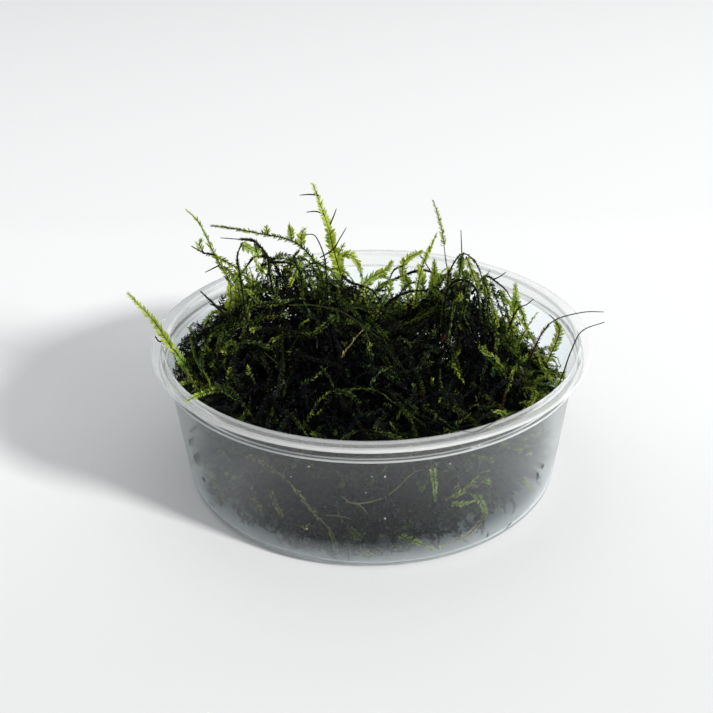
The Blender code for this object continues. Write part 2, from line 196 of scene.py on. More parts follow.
# Strands that catch the eye on the tangle's surface: style, route
SURFACE_STRANDS = [
    ("thread", [(-21, -7.5, 51), (-15.5, -6.5, 50.5), (-12.5, -6.5, 50), (-7, -7, 48.5), (-1.5, -7.5, 44.5),
                (2.5, -7.5, 41)]),
    ("pale", [(-7.5, -19.5, 42), (-5.5, -15.5, 43), (-4, -12, 43.5), (-2, -9, 44.5)]),
    ("shaded", [(-13, -22, 41), (-10.5, -26.5, 40.5), (-9, -29.5, 38.5)]),
    ("shaded", [(-0.5, -26, 37.5), (2.5, -22, 39), (5.5, -18, 38.5)]),
    ("shaded", [(6.5, -8.5, 39.5), (7.5, -6.5, 40.5), (9.5, -8, 40.5), (10.5, -10, 39.5)]),
    ("leafy", [(20.5, -16.5, 38.5), (22, -19, 37), (23.5, -21.5, 35.5)]),
    ("shaded", [(17.5, -17, 37), (17.5, -21, 36), (17.5, -24.5, 34.5)]),
    ("shaded", [(-15.5, -39, 35), (-13, -33, 36.5), (-10, -30, 38), (-5, -29.5, 38.5), (0.5, -27, 37),
                (5, -29.5, 35), (9.5, -33.5, 33.5), (13, -36, 32)]),
    ("shaded", [(-9, -30, 38), (-6, -30.5, 38), (-2.5, -32.5, 36.5)]),
    ("shaded", [(19.5, -37, 32), (22, -34.5, 32), (24.5, -30, 31.5)]),
    ("shaded", [(-36, -27.5, 35.5), (-31, -32, 35.5), (-28, -38, 34.5)]),
    ("thread", [(-27, -17.5, 42.5), (-23, -21.5, 41)]),
    ("shaded", [(-17.5, -27, 38), (-14, -26, 40), (-11, -23, 41)]),
    ("bare", [(-57, -6, 41.5), (-55.5, -8, 41), (-53, -8, 41.5), (-51, -12, 38), (-49, -15, 34)]),
    ("feathered", [(-38, -0.5, 45), (-37, 0, 50), (-37, 0.5, 54)]),
    ("leafy", [(-36, 0, 54), (-34.5, 0, 56), (-32.5, 0, 58)]),
    ("leafy", [(-35.5, 2.5, 49), (-33.5, 3, 51), (-32, 3, 54)]),
    ("wiry", [(-30, 1, 57), (-27.5, 1, 59), (-24, 1, 59.5), (-20, 1.5, 58.5), (-17, 2, 55.5)]),
    ("dull", [(28, 0.5, 52), (28.5, -3, 49), (29, -6, 45.5)]),
    ("leafy", [(30, 3, 53), (31.5, 2, 50), (33, 0, 45.5), (34, -3, 42)]),
    ("leafy", [(36, 12, 46), (38.5, 12, 42), (41, 12, 38), (44, 13, 34), (47, 14, 28)]),
    ("leafy", [(38.5, -10.5, 34.5), (36.5, -15, 33.5), (34.5, -21, 32.5)]),
    ("rusty", [(34.5, -21, 32.5), (33, -26, 32), (31, -30.5, 31.5)]),
    ("shaded", [(36.5, -14.5, 34), (35, -19, 33), (34, -22.5, 32.5)]),
    ("shaded", [(26.5, -27.5, 32), (29.5, -28, 32), (31, -25.5, 32)]),
    ("feathered", [(46.5, 6, 29.5), (46.5, -3, 30), (48, -9.5, 29)]),
    ("shaded", [(22.5, 0, 53), (22, -4.5, 50), (21, -8, 46), (20, -12.5, 42)]),
    ("leafy", [(-50, -8, 37), (-49, -13.5, 37), (-44, -24, 36)]),
    ("shaded", [(-50, 5, 36), (-46, -10, 38), (-42, -20.5, 37)]),
    ("shaded", [(-28.5, -1, 55), (-31, -5, 51), (-32, -9.5, 47.5), (-33.5, -12, 44)]),
    ("shaded", [(-23.5, -1, 56), (-24.5, -6, 53), (-26.5, -10.5, 49)]),
    ("shaded", [(-18.5, -1.5, 55), (-17.5, -5, 52), (-15.5, -9, 49)]),
    ("wiry", [(-29.5, -12.5, 46), (-24.5, -13, 47), (-19.5, -14, 46.5), (-15, -15.5, 45.5)]),
    ("wiry", [(1.5, 13, 45), (5, 13, 48), (11.5, 13, 51), (15, 13, 51.5), (20, 13, 50)]),
    ("leafy", [(17, 8, 44), (17, 10, 49.5), (17.5, 10, 53), (17.5, 10, 56)]),
    ("leafy", [(20, 3, 48), (21, 5, 51.5), (21, 7, 55)]),
    ("dull", [(12, 11, 42), (13.5, 11, 49.5), (13, 11, 52)]),
    ("leafy", [(0, 12, 43), (2.5, 12, 47.5), (4, 12, 48), (7, 12, 49.5)]),
    ("feathered", [(9.5, 9, 52), (10.5, 9, 49.5), (12, 9, 44)]),
    ("wiry", [(3, 4, 44), (6, 4, 47), (8.5, 4, 48.5), (12, 4, 49.5), (15.5, 4, 49.5)]),
    ("wiry", [(-7.5, 8, 52.5), (-5.5, 8, 50.5), (-3, 8, 49.5), (0.5, 8, 48), (3, 8, 44)]),
    ("shaded", [(-18.5, 4, 55), (-15, 4, 58), (-11, 4, 56), (-8, 4, 52)]),
    ("shaded", [(15, 6, 46), (18.5, 6, 50), (21, 6, 54)]),
    ("leafy", [(3, 8, 43), (5.5, 8, 48), (5.5, 8, 50.5)]),
    ("shaded", [(30, 3, 54), (31.5, 2, 49), (31, -3.5, 45), (33, -8.5, 42), (32.5, -11, 39)]),
    ("shaded", [(34.5, 5, 49), (36.5, 4, 44.5), (38, 2, 40), (38.5, -3, 35.5)]),
    ("shaded", [(32, 2, 52.5), (34, 1, 47.5), (36, 1, 42), (36.5, -2.5, 39)]),
    ("leafy", [(40, 8, 44.5), (42, 8, 40.5), (43.5, 8, 36), (46, 8, 31), (48, 6, 28)]),
    ("leafy", [(43, 2, 31.5), (45.5, -2, 30), (47.5, -5, 28.5), (50, -7.5, 28)]),
    ("slim", [(52.5, -3, 26), (53.5, -3, 28), (54, -3, 30)]),
    ("leafy", [(17, 8, 47), (17.5, 9, 51), (17.5, 9, 55)]),
    ("shaded", [(25, 1, 54), (26, -3.5, 51), (24.5, -6.5, 47.5), (26, -10, 44)]),
    ("leafy", [(-45, 2, 40), (-43, 2, 44), (-40, 1, 45.5), (-36.5, 0, 48)]),
    ("shaded", [(-44, -1.5, 39.5), (-39, -4, 43.5), (-33, -9, 46.5), (-28.5, -10, 48.5), (-24, -10.5, 49)]),
    ("shaded", [(-33.5, -6, 48), (-28.5, -7, 51), (-24, -7.5, 51.5), (-20, -6, 52)]),
    ("leafy", [(-18, 1, 60), (-19.5, 0, 57), (-21, -3.5, 54.5)]),
    ("leafy", [(-28.5, 3, 62), (-27.5, 3, 59), (-29, 3, 55)]),
    ("leafy", [(-49, 0, 36.5), (-45.5, -12, 37), (-41.5, -20.5, 37), (-40, -25, 36)]),
    ("shaded", [(-52, -4, 37), (-50.5, -8, 36.5), (-48, -14, 36), (-46, -19.5, 36)]),
    ("leafy", [(-27, 0, 56), (-29, -3, 60), (-30, -3, 63)]),
    ("thread", [(33, -44.5, 40.8), (30, -48, 41.6), (26.5, -51, 41.4), (23, -53.3, 41), (19.5, -53, 41.2)]),
    ("feathered", [(-35, 4, 46), (-35.5, 4, 51), (-36, 4, 56)]),
    ("leafy", [(-31.5, 3, 50), (-32.5, 3, 54), (-33, 3, 58.5)]),
    ("shaded", [(-16, 2, 55), (-20, 1, 59.5), (-25, 1, 60.5), (-29, 1, 57)]),
    ("wiry", [(-24, 3, 55), (-26, 2, 60), (-30, 1, 61), (-33, 1, 57.5)]),
    ("shaded", [(6, 7, 43), (8.5, 7, 48), (11, 7, 50.5), (14, 7, 50), (15.5, 7, 46)]),
    ("feathered", [(14, 9, 45), (14.5, 10, 50), (13, 11, 54)]),
    ("leafy", [(-2, 10, 46), (0.5, 11, 49.5), (4, 12, 50.5), (6, 12, 48)]),
]

# Strands pressed against the inside of the tub's wall and floor: style, route
WALL_STRANDS = [
    ("pale", [(-29.5, -43.5, 29), (-24.5, -46.5, 28), (-19, -48.5, 24), (-16, -49, 19.5), (-13, -49.5, 15),
              (-10, -49.5, 11), (-8.5, -49.5, 6.5)]),
    ("pale_thread", [(-7, -51.5, 22.5), (-4.5, -51.5, 20.5), (0, -51.5, 21), (4, -51.5, 23), (7, -52, 26.5),
                     (9, -51.5, 28.5), (13, -51, 30.5)]),
    ("pale_thread", [(-6.5, -51.5, 21), (-3, -51.5, 20), (-0.5, -51.5, 16.5)]),
    ("pressed", [(14, -50.5, 30), (14.5, -50, 25), (15, -49.5, 19.5)]),
    ("pressed", [(19, -48, 19), (23.5, -46, 22), (25.5, -45, 24), (28, -44, 24.5)]),
    ("pressed", [(26.5, -44.5, 22), (28.5, -43, 20)]),
    ("pressed", [(18.5, -48, 17.5), (22, -46.5, 16.5), (25, -44.5, 16)]),
    ("pressed", [(25, -45, 18.5), (27, -43.5, 13.5), (28, -42, 9.5)]),
    ("pale", [(28, -42.5, 10.5), (25.5, -43.5, 7), (23, -44.5, 5), (18.5, -46.5, 4.5)]),
    ("pressed", [(6.5, -49, 9), (11, -48, 6), (14.5, -47, 3.5), (18, -45.5, 3)]),
    ("pressed", [(4.5, -48, 6), (6.5, -47.5, 4), (9.5, -46, 2.5)]),
    ("pale", [(-2, -49, 4.5), (-1, -48.5, 3), (0, -48, 2)]),
    ("bare", [(1.5, -49, 6), (4.5, -48, 3.5), (7.5, -46.5, 2)]),
    ("pale", [(-30, -41.5, 15.5), (-28, -42.5, 14), (-27, -43, 11.5)]),
    ("pale", [(-43.5, -27, 13), (-39, -32.5, 11), (-37.5, -33.5, 7)]),
    ("pale", [(-24.5, -45.5, 20.5), (-23, -45.5, 15.5), (-21.5, -46, 12.5)]),
    ("pale_thread", [(-11, -50, 16), (-7.5, -50.5, 16), (-5, -51, 15.5)]),
    ("chip", [(-9.6, -52, 27.3), (-8.8, -52, 26), (-7.9, -52, 24.5)]),
    ("chip", [(-5, -53, 32.2), (-3.5, -53.2, 31.7), (-2.2, -53.2, 31.4)]),
]

# Specks of moss on the outside of the wall: both ends of each, as degrees round from +x and height
WALL_SPECKS = [
    ((-147.2, 27), (-147, 26.2)),
    ((-150.9, 22), (-151.5, 19.4)),
    ((-149.3, 18), (-148.8, 15.5)),
    ((-146.3, 12.4), (-145.1, 11.4)),
    ((-34.2, 16), (-34.6, 14.6)),
    ((-37, 14.8), (-36.5, 12.4)),
    ((-34.6, 12), (-35.4, 12.4)),
    ((-47.1, 3.8), (-49.3, 3)),
    ((-56.2, 4.8), (-56.6, 3.4)),
]
SPECK_LIFT = 0.1  # how far their middle line stands off the wall

# ---------------------------------------------------------------- how a strand is grown
STRAND_STEPS = 20
KEEP_OFF_WALL = 0.15  # closest that a leaf comes to the tub
LEAF_FOLD = 0.3  # how far a leaf's edges stand up from its midrib, as a share of its width
LEAF_WIDTH = 0.36  # of its length
WIDEST_AT = 0.4  # share of the leaf's length where it is widest
LEAF_TURN = 0.28  # how unevenly the leaves stand round their stem, in radians
LEAF_ROLL = 0.5  # how far they roll about their own midrib
LEAF_CURVE = 0.1  # how far they bend, as a share of their length
TIP_PALENESS = 0.16  # what a leaf's tip adds to its tone
LEAF_UV_SHARE = 0.8  # share of the bake map's width that the leaves take; the stems have the rest
LEAF_UV_LENGTH = 0.007
WALL_MARGIN, FLOOR_MARGIN = 3.2, 3.5  # where growing strands start to turn back
WALL_GAP, FLOOR_GAP = 4.5, 5.0  # how much farther off they stay low on the right, where the tub is emptier
WALL_PUSH, FLOOR_PUSH, SURFACE_PUSH = 0.27, 0.24, 0.17  # how sharply they turn, in radians per mm


def unit(v):
    return v / np.maximum(np.linalg.norm(v, axis=-1, keepdims=True), 1e-9)


def dot(a, b):
    return (a * b).sum(-1, keepdims=True)


def between(value, start, end):
    """0 up to start, 1 from end on, and a straight slope from one to the other. End may be below start."""
    return np.clip((value - start) / (end - start), 0, 1)


def tub_inner_radius(z):
    """The tub's inner radius at height z."""
    tapered = WALL_FOOT_R + (WALL_TOP_R - WALL_FOOT_R) * between(z, WALL_FOOT_Z, SHOULDER_BOTTOM)
    return np.where(z > SHOULDER_TOP - BEAD, LIP_R, tapered)


class Mound:
    """The upper surface of the CAD's tangle, as heights on a grid."""

    CELLS = 90

    def __init__(self, node):
        low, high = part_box(node)
        self.low = np.array(low[:2]) / MM
        self.size = (np.array(high[:2]) / MM - self.low).max()
        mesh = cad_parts[node].data
        tree = BVHTree.FromPolygons([v.co for v in mesh.vertices], [tuple(p.vertices) for p in mesh.polygons])
        edge = 0.93 * self.size / 2
        self.grid = np.zeros((self.CELLS + 1, self.CELLS + 1))
        for i in range(self.CELLS + 1):
            for j in range(self.CELLS + 1):
                x, y = self.low + self.size * np.array([i, j]) / self.CELLS
                inward = min(1.0, edge / max(math.hypot(x, y), 1e-6))
                above = Vector((x * inward, y * inward, 100)) * MM
                self.grid[i, j] = tree.ray_cast(above, Vector((0, 0, -1)))[0].z / MM

    def height(self, x, y):
        u = np.clip((x - self.low[0]) / self.size, 0, 0.9999) * self.CELLS
        v = np.clip((y - self.low[1]) / self.size, 0, 0.9999) * self.CELLS
        i, j = u.astype(int), v.astype(int)
        u, v = u - i, v - j
        near = self.grid[i, j] * (1 - u) + self.grid[i + 1, j] * u
        far = self.grid[i, j + 1] * (1 - u) + self.grid[i + 1, j + 1] * u
        return near * (1 - v) + far * v

    def downhill(self, x, y, reach=3.0):
        """Unit vectors that point down the slope at each place."""
        dx = (self.height(x + reach, y) - self.height(x - reach, y)) / (2 * reach)
        dy = (self.height(x, y + reach) - self.height(x, y - reach)) / (2 * reach)
        return unit(np.stack([-dx, -dy, -(dx**2 + dy**2)], -1) + 1e-6)


def crowding(x, z, r):
    """How near each place at radius r is to the tub's wall and to its floor, from 0 to 2."""
    gap = WALL_GAP * between(x, 22, 42) * between(z, 21, 9)
    near_wall = np.clip((r - tub_inner_radius(z) + WALL_MARGIN + gap) / 2.2, 0, 2) * (z < HEIGHT + 3)
    near_floor = np.clip((FLOOR_MARGIN + FLOOR_GAP * between(x, -8, 22) - z) / 2.5, 0, 2)
    return near_wall, near_floor


def grow(rng, mound, starts, headings, length, depth, curl, follow=0.5, free=0.0, droop=0.0):
    """Strands that wander from their starts. depth is how deep under the mound's surface each one likes to
    run, curl its typical turn in radians per mm, free the share of its length, at the tip, that may leave the
    surface, and droop how much that stretch falls."""
    count = len(starts)
    step = (length / STRAND_STEPS)[:, None]
    axes = unit(rng.normal(size=(2, count, 3)))
    phase = rng.uniform(0, 2 * math.pi, (2, count))
    pace = rng.uniform(0.12, 0.4, (2, count))
    amount = curl * rng.uniform(0.4, 1.7, count)
    points = [starts.copy()]
    heading = unit(headings)
    for k in range(STRAND_STEPS):
        here = points[-1]
        along = k * step[:, 0]
        x, y, z = here.T
        r = np.maximum(np.hypot(x, y), 1e-6)
        over = np.clip((mound.height(x, y) - z - depth) / 4, -1, 1)
        rise = follow * over if k / STRAND_STEPS < 1 - free else np.full(count, -droop)
        near_wall, near_floor = crowding(x, z, r)
        inward = -WALL_PUSH * near_wall
        wander = (amount * np.sin(phase + pace * along))[:, :, None] * axes
        push = np.stack([inward * x / r, inward * y / r, SURFACE_PUSH * rise + FLOOR_PUSH * near_floor], 1)
        heading = unit(heading + step * (wander.sum(0) + push))
        points.append(here + heading * step)
    return np.stack(points, 1)


def frames(paths, twist):
    """Tangents, and two normals that turn smoothly by twist radians along each path."""
    tangent = unit(np.gradient(paths, axis=1))
    normal = np.empty_like(tangent)
    seed = np.where(np.abs(tangent[:, 0, 2:]) < 0.9, [[0, 0, 1.0]], [[1.0, 0, 0]])
    current = unit(np.cross(tangent[:, 0], seed))
    for k in range(paths.shape[1]):
        current = unit(current - dot(current, tangent[:, k]) * tangent[:, k])
        normal[:, k] = current
    other = np.cross(tangent, normal)
    angle = twist[:, None] * np.linspace(0, 1, paths.shape[1])[None]
    c, s = np.cos(angle)[..., None], np.sin(angle)[..., None]
    return tangent, normal * c + other * s, other * c - normal * s


def pick(values, strand, at):
    """Values along the strands, read at share at of each leaf's strand."""
    place = np.clip(at, 0, 1) * (values.shape[1] - 1)
    k = np.minimum(place.astype(int), values.shape[1] - 2)
    t = place - k
    t = t[:, None] if values.ndim == 3 else t
    return values[strand, k] * (1 - t) + values[strand, k + 1] * t


COARSE_LEAF = dict(
    corners=[(0, 0), (WIDEST_AT, 1), (1, 0), (WIDEST_AT, -1)],
    faces=[(0, 1, 2), (0, 2, 3)],
)
FINE_LEAF = dict(
    corners=[(0, 0), (0.3, 1), (0.3, -1), (0.68, 0.7), (0.68, -0.7), (1, 0), (0.5, 0)],
    faces=[(0, 1, 6), (1, 3, 6), (3, 5, 6), (5, 4, 6), (4, 2, 6), (2, 0, 6)],
)


class Greens:
    """Strands gathered into one mesh. Each vertex has a tone and a rust, and each strand has its own row of
    the bake map."""

    def __init__(self, strands):
        self.rows = strands
        self.row = 0
        self.count = 0
        self.parts = []

    def add(self, vertices, triangles, tone, rust, uv):
        count = vertices.size // 3
        tone, rust = (np.broadcast_to(value, vertices.shape[:-1]).reshape(-1) for value in (tone, rust))
        self.parts.append((vertices.reshape(-1, 3), triangles.reshape(-1, 3) + self.count, tone, rust,
                           uv.reshape(-1, 2)))
        self.count += count

    def stems(self, paths, normals, radius, tone, rust, sides=3):
        """A thin prism round each path; radius and tone have a value at each of its points."""
        n, m = paths.shape[:2]
        angle = np.arange(sides) * 2 * math.pi / sides
        c, s = np.cos(angle)[:, None], np.sin(angle)[:, None]
        ring = c * normals[1][:, :, None] + s * normals[2][:, :, None]
        vertices = paths[:, :, None] + ring * radius[:, :, None, None]
        start = (np.arange(n)[:, None, None] * m + np.arange(m - 1)[None, :, None]) * sides
        a = np.arange(sides)[None, None]
        b = (a + 1) % sides
        lower = np.stack([start + a, start + b, start + sides + b], -1)
        upper = np.stack([start + a, start + sides + b, start + sides + a], -1)
        u = LEAF_UV_SHARE + (1 - LEAF_UV_SHARE) * np.linspace(0, 1, m)[None, :, None]
        v = (self.row + np.arange(n)[:, None, None] + 0.1 + 0.8 * a / sides) / self.rows
        uv = np.stack(np.broadcast_arrays(u, v), -1)
        self.add(vertices, np.concatenate([lower, upper], 2), tone[..., None], rust, uv)

    def leaves(self, rng, paths, normals, places, length, width, angle, tone, rust, shape=COARSE_LEAF):
        """One folded leaf for each place, which is a strand, a share of its length, and a side."""
        strand, at, side = places
        count = len(strand)
        base, tangent = pick(paths, strand, at), unit(pick(normals[0], strand, at))
        normal, other = pick(normals[1], strand, at), pick(normals[2], strand, at)
        tilt = side + rng.normal(0, LEAF_TURN, count)
        away = unit(np.cos(tilt)[:, None] * other + np.sin(tilt)[:, None] * normal)
        angle = np.radians(angle * rng.uniform(0.7, 1.35, count))[:, None]
        along = unit(np.cos(angle) * tangent + np.sin(angle) * away)
        flat = np.cross(tangent, away) + rng.normal(0, LEAF_ROLL, (count, 3))
        flat = unit(flat - dot(flat, along) * along)
        across = np.cross(along, flat)
        half = (length * width * rng.uniform(0.75, 1.2, count) / 2)[:, None]
        long = length[:, None]
        fold = 2 * half * LEAF_FOLD
        curve = long * rng.normal(0, LEAF_CURVE, (count, 1))
        corners = [base + along * long * t + across * half * s + flat * (fold * abs(s) + curve * t**2)
                   for t, s in shape["corners"]]
        vertices = np.stack(corners, 1)
        start = np.arange(count)[:, None, None] * len(corners)
        t, s = np.array(shape["corners"]).T
        u = np.clip(at, 0, 1)[:, None] * (LEAF_UV_SHARE - LEAF_UV_LENGTH) + t * LEAF_UV_LENGTH
        v = (self.row + strand[:, None] + 0.5 + 0.4 * s) / self.rows
        self.add(vertices, start + np.array(shape["faces"]), tone[:, None] + TIP_PALENESS * t, rust,
                 np.stack([u, v], -1))

    def write(self, name, material, keep_in=True):
        """One piece with all the strands, pressed inside the tub if keep_in."""
        vertices, triangles, tone, rust, uv = (np.concatenate(group) for group in zip(*self.parts))
        if keep_in:
            vertices = inside_tub(vertices)
        mesh = bpy.data.meshes.new(name)
        mesh.vertices.add(len(vertices))
        mesh.vertices.foreach_set("co", (vertices * MM).astype(np.float32).ravel())
        mesh.loops.add(triangles.size)
        mesh.loops.foreach_set("vertex_index", triangles.astype(np.int32).ravel())
        mesh.polygons.add(len(triangles))
        mesh.polygons.foreach_set("loop_start", np.arange(0, triangles.size, 3, dtype=np.int32))
        mesh.update(calc_edges=True)
        for label, values in (("tone", tone), ("rust", rust)):
            attribute = mesh.attributes.new(label, "FLOAT", "POINT")
            attribute.data.foreach_set("value", values.astype(np.float32))
        layer = mesh.uv_layers.new(name="OFBake")
        layer.data.foreach_set("uv", uv[triangles.ravel()].astype(np.float32).ravel())
        mesh.shade_smooth()
        return add_piece(name, mesh, material)


def add_piece(name, mesh, material):
    """A new piece of one material, which rides on the one body."""
    mesh.materials.append(material)
    piece = bpy.data.objects.new(name, mesh)
    bpy.context.scene.collection.objects.link(piece)
    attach(piece, "root")
    return piece


def inside_tub(vertices):
    """The same points, pressed against the inside of the tub where they would go through it."""
    x, y, z = vertices.T
    z = np.maximum(z, FLOOR + KEEP_OFF_WALL)
    r = np.maximum(np.hypot(x, y), 1e-6)
    corner = WALL_FOOT_Z - FLOOR
    low = np.clip((WALL_FOOT_Z - z) / corner, 0, 1)
    limit = tub_inner_radius(z) - corner * (1 - np.sqrt(1 - low**2)) - KEEP_OFF_WALL
    pull = np.where((z < HEIGHT + 0.4) & (r < RIM_R) & (r > limit), limit / r, 1.0)
    return np.stack([x * pull, y * pull, z], 1)


def leaf_places(rng, lengths, per_mm, first=0.0, last=1.0):
    """A strand's number, a share of its length and a side of its stem, for every leaf of some strands."""
    wanted = np.maximum((lengths * per_mm * (last - first)).round().astype(int), 1)
    strand = np.repeat(np.arange(len(lengths)), wanted)
    order = np.arange(wanted.sum()) - np.repeat(np.cumsum(wanted) - wanted, wanted)
    at = first + (last - first) * (order + rng.uniform(0.1, 0.9, len(order))) / wanted[strand]
    side = np.where(order % 2 == 0, 0.0, math.pi)
    return strand, at, side


# ---------------------------------------------------------------- the tangle
# Each layer: how many strands, their leaves' length in mm, width as a share of it and number per mm, stem
# radius, and the tone at the foot and at the tip
LAYERS = {
    "fill": dict(count=800, leaf=1.9, width=0.55, per_mm=1.5, stem=0.22, tones=(0.0, 0.1)),
    "drape": dict(count=1400, leaf=1.05, width=0.36, per_mm=4.6, stem=0.14, tones=(0.22, 0.62)),
    "cross": dict(count=260, leaf=0.9, width=0.38, per_mm=2.2, stem=0.2, tones=(0.06, 0.2)),
    "upright": dict(count=360, leaf=1.25, width=0.4, per_mm=4.8, stem=0.14, tones=(0.28, 0.84)),
    "loop": dict(count=440, leaf=1.25, width=0.4, per_mm=4.6, stem=0.16, tones=(0.2, 0.56)),
    "wall": dict(count=320, leaf=1.2, width=0.34, per_mm=3.0, stem=0.15, tones=(0.1, 0.32)),
    "pressed": dict(count=120, leaf=1.3, width=0.38, per_mm=4.2, stem=0.15, tones=(0.4, 0.85)),
}
SECTORS = 6  # pieces that the tangle is written in
TONE_SPREAD = 0.19
DEAD_SHARE, DEAD_TONE = 0.34, -0.26  # share of the strands that are old, and what that adds to their tone
RUSTY_SHARE, RUSTY = 0.015, 0.8


def scattered(rng, mound, count, depth, r_max=50.0):
    """Points spread evenly over the mound, at depths drawn between the two given under its surface."""
    r = r_max * np.sqrt(rng.uniform(0, 1, count))
    a = rng.uniform(0, 2 * math.pi, count)
    x, y = r * np.cos(a), r * np.sin(a)
    z = np.maximum(mound.height(x, y) - rng.uniform(*depth, count), 3)
    return np.stack([x, y, z], 1)


def lushness(mound, points):
    """From 0 to 1: high on the crests and at both ends of the front, low in the hollow between them."""
    x, y, _ = np.moveaxis(points, -1, 0)
    crest = between(mound.height(x, y), 42, 52)
    flank = between(np.abs(x), 28, 42) * (y < -6)
    return np.maximum(crest, flank)


def without_strays(mound, paths, proud):
    """The strands that nowhere stand more than proud above the mound."""
    x, y, z = np.moveaxis(paths, -1, 0)
    return paths[(z - mound.height(x, y)).max(1) < proud]


def fill_strands(rng, mound, count):
    starts = scattered(rng, mound, count, (5, 32))
    headings = rng.normal(size=(count, 3))
    paths = grow(rng, mound, starts, headings, length=rng.uniform(26, 42, count),
                 depth=rng.uniform(5, 26, count), curl=0.14)
    return without_strays(mound, paths, -1.5)


def drape_strands(rng, mound, count):
    starts = scattered(rng, mound, count, (0.5, 4), 48)
    headings = mound.downhill(starts[:, 0], starts[:, 1]) + rng.normal(0, 0.55, (count, 3))
    paths = grow(rng, mound, starts, headings, length=rng.uniform(16, 36, count),
                 depth=rng.uniform(0.4, 3.2, count), curl=0.1, follow=0.7)
    return without_strays(mound, paths, 1.6)


def cross_strands(rng, mound, count):
    starts = scattered(rng, mound, count, (0.5, 3), 46)
    headings = rng.normal(size=(count, 3)) * [1, 1, 0.2]
    paths = grow(rng, mound, starts, headings, length=rng.uniform(18, 40, count),
                 depth=rng.uniform(0, 1.6, count), curl=0.12, follow=0.8)
    return without_strays(mound, paths, 1.8)


def upright_strands(rng, mound, count):
    starts = scattered(rng, mound, count, (3, 6), 47)
    outward = unit(starts * [1, 1, 0]) * 0.35
    headings = outward + [0, 0, 1.0] + rng.normal(0, 0.5, (count, 3))
    vigour = 0.4 + 0.6 * lushness(mound, starts)
    paths = grow(rng, mound, starts, headings, length=vigour * rng.uniform(6, 13, count),
                 depth=rng.uniform(-2, 1, count), curl=0.13, free=0.6, droop=0.25)
    return paths[np.hypot(*paths[:, -1, :2].T) < 49]


def loop_strands(rng, mound, count):
    """Strands that rise from the crests and bend back down to them."""
    tries = 6 * count
    starts = scattered(rng, mound, tries, (2, 5), 44)
    behind = (starts[:, 1] > 2) & (rng.uniform(0, 1, tries) < 0.5)
    starts = starts[(lushness(mound, starts) > 0.45) | behind][:count]
    count = len(starts)
    headings = [0, 0, 0.8] + rng.normal(0, 0.6, (count, 3))
    paths = grow(rng, mound, starts, headings, length=rng.uniform(14, 28, count),
                 depth=rng.uniform(-2.5, 0.5, count), curl=0.15, follow=1.0)
    return without_strays(mound, paths, 4.6)


def round_the_tub(rng, turn, climb):
    """Headings that run either way round the tub from the angles in turn, and rise or fall by about climb."""
    count = len(turn)
    headings = np.stack([-np.sin(turn), np.cos(turn), rng.normal(0, climb, count)], 1)
    return headings * rng.choice([-1, 1], (count, 1))


def wall_strands(rng, mound, count):
    """Dark strands just behind the wall."""
    turn = rng.uniform(0, 2 * math.pi, count)
    r = WALL_FOOT_R - rng.uniform(1, 7, count)
    x, y = r * np.cos(turn), r * np.sin(turn)
    starts = np.stack([x, y, rng.uniform(8, mound.height(x, y) - 2)], 1)
    paths = grow(rng, mound, starts, round_the_tub(rng, turn, 0.7), length=rng.uniform(18, 36, count),
                 depth=rng.uniform(5, 26, count), curl=0.11, follow=0.12)
    return without_strays(mound, paths, 1.0)


def pressed_strands(rng, mound, count):
    """Short green strands that lie against the inside of the wall."""
    turn = rng.uniform(0, 2 * math.pi, count)
    r = WALL_FOOT_R - rng.uniform(0, 1, count)
    starts = np.stack([r * np.cos(turn), r * np.sin(turn), rng.uniform(3, 24, count)], 1)
    paths = grow(rng, mound, starts, round_the_tub(rng, turn, 0.8), length=rng.uniform(9, 20, count),
                 depth=rng.uniform(5, 26, count), curl=0.1, follow=0.1)
    return without_strays(mound, paths, 0.0)


def painted_light_and_shade(mound, points):
    """What a place adds to the tone, as painted light and shade: painted shade makes the strands low in the
    front middle and deep under the mound's surface nearly black, and painted light makes the crests and the
    right flank lighter."""
    x, y, z = np.moveaxis(points, -1, 0)
    front_shade = np.exp(-((x + 6) / 34) ** 2 - ((y + 25) / 20) ** 2)
    crest = between(z, 44, 58)
    flank = between(x, 28, 44)
    depth_shade = between(mound.height(x, y) - z, 0, 12)
    return 0.12 * crest + 0.1 * flank - 0.4 * front_shade - 0.3 * depth_shade


